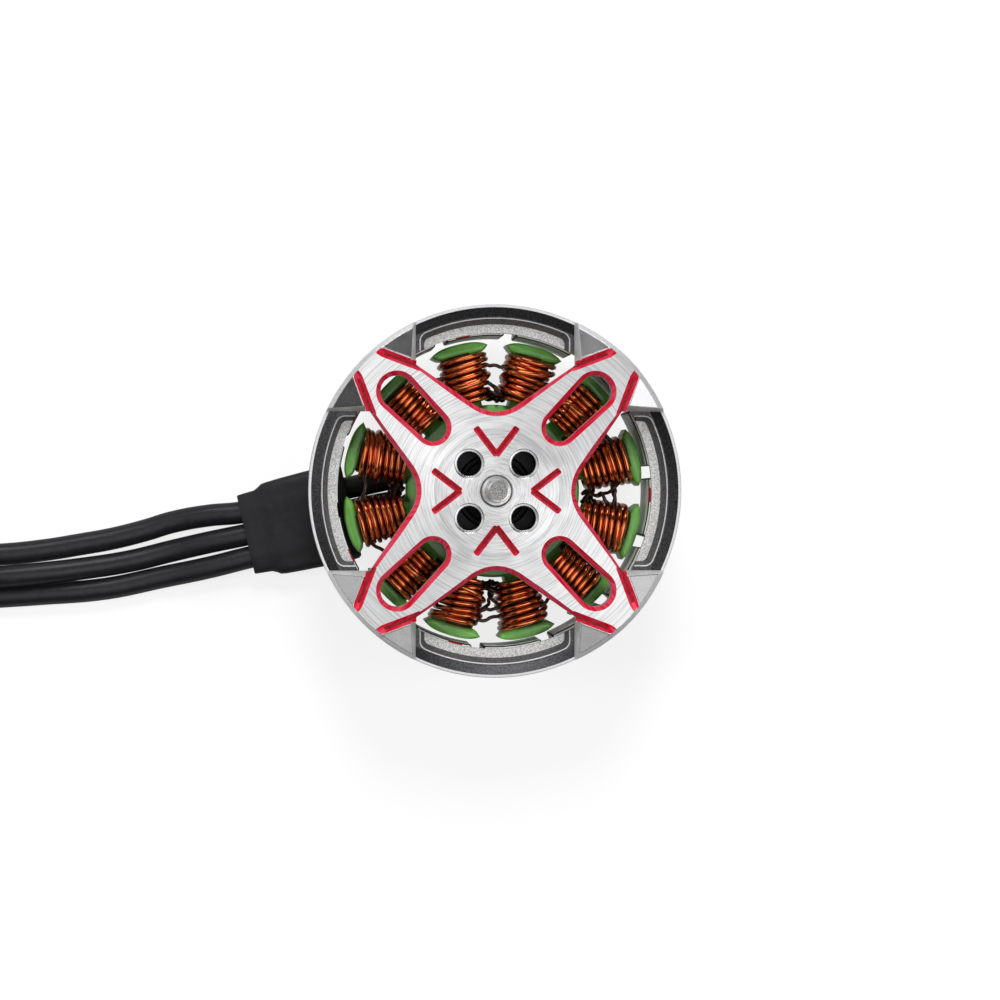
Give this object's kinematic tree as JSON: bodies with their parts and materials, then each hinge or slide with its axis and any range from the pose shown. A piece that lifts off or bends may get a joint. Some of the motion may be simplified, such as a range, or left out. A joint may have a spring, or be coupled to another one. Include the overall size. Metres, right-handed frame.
{
  "type": "brushless outrunner motor",
  "caption": "Brushless outrunner motor: spider bell with open windows over copper windings, flat propeller hub with pilot shaft, armed base and bare phase leads.",
  "frame": {"origin": "on the shaft axis at the base's mounting face", "axes": "+Z along the shaft towards the propeller, -X towards the phase leads, +Y completes the right-handed frame"},
  "size_m": [0.0692, 0.0258, 0.0153],
  "materials": {
    "bell_aluminium": "turned and clear anodised, with red anodised chamfers and grooves",
    "ring_steel": "ground steel",
    "magnet_nickel": "nickel plate",
    "shaft_steel": "ground steel",
    "bearing_brass": "satin",
    "base_anodised": "black anodised",
    "stator_epoxy": "glossy green epoxy powder coat",
    "winding_copper": "clear enamel over copper wire",
    "solder": "bright solder",
    "shrink_sleeve": "matte heat-shrink",
    "lead_silicone": "satin silicone",
    "tie_nylon": "nylon"
  },
  "bodies": {
    "stator": {"motor_base": "base_anodised", "stator_core": "stator_epoxy", "winding_01": "winding_copper", "winding_02": "winding_copper", "winding_03": "winding_copper", "winding_04": "winding_copper", "winding_05": "winding_copper", "winding_06": "winding_copper", "winding_07": "winding_copper", "winding_08": "winding_copper", "winding_09": "winding_copper", "winding_10": "winding_copper", "winding_11": "winding_copper", "winding_12": "winding_copper", "bearing_lower_outer_race": "shaft_steel", "bearing_upper_outer_race": "shaft_steel", "bearing_lower_ball_cage": "bearing_brass", "bearing_upper_ball_cage": "bearing_brass", "bearing_lower_shield_bottom": "shaft_steel", "bearing_upper_shield_bottom": "shaft_steel", "bearing_lower_shield_top": "shaft_steel", "bearing_upper_shield_top": "shaft_steel", "lead_sleeve": "shrink_sleeve", "lead_a": "lead_silicone", "lead_b": "lead_silicone", "lead_c": "lead_silicone", "splice_a": "solder", "splice_b": "solder", "splice_c": "solder", "lead_coil": "lead_silicone", "lead_coil_tie": "tie_nylon"},
    "rotor": {"bell": "bell_aluminium", "flux_ring": "ring_steel", "magnet_01": "magnet_nickel", "magnet_02": "magnet_nickel", "magnet_03": "magnet_nickel", "magnet_04": "magnet_nickel", "magnet_05": "magnet_nickel", "magnet_06": "magnet_nickel", "magnet_07": "magnet_nickel", "magnet_08": "magnet_nickel", "magnet_09": "magnet_nickel", "magnet_10": "magnet_nickel", "magnet_11": "magnet_nickel", "magnet_12": "magnet_nickel", "magnet_13": "magnet_nickel", "magnet_14": "magnet_nickel", "shaft": "shaft_steel", "shaft_circlip": "shaft_steel", "shaft_washer": "shaft_steel", "hub_spacer": "bearing_brass", "bearing_lower_inner_race": "shaft_steel", "bearing_upper_inner_race": "shaft_steel"}
  },
  "joints": [
    {"name": "rotor_spin", "type": "hinge", "parent": "stator", "child": "rotor", "pos_m": [0, 0, 0.007], "axis": [0, 0, 1], "continuous": true}
  ]
}
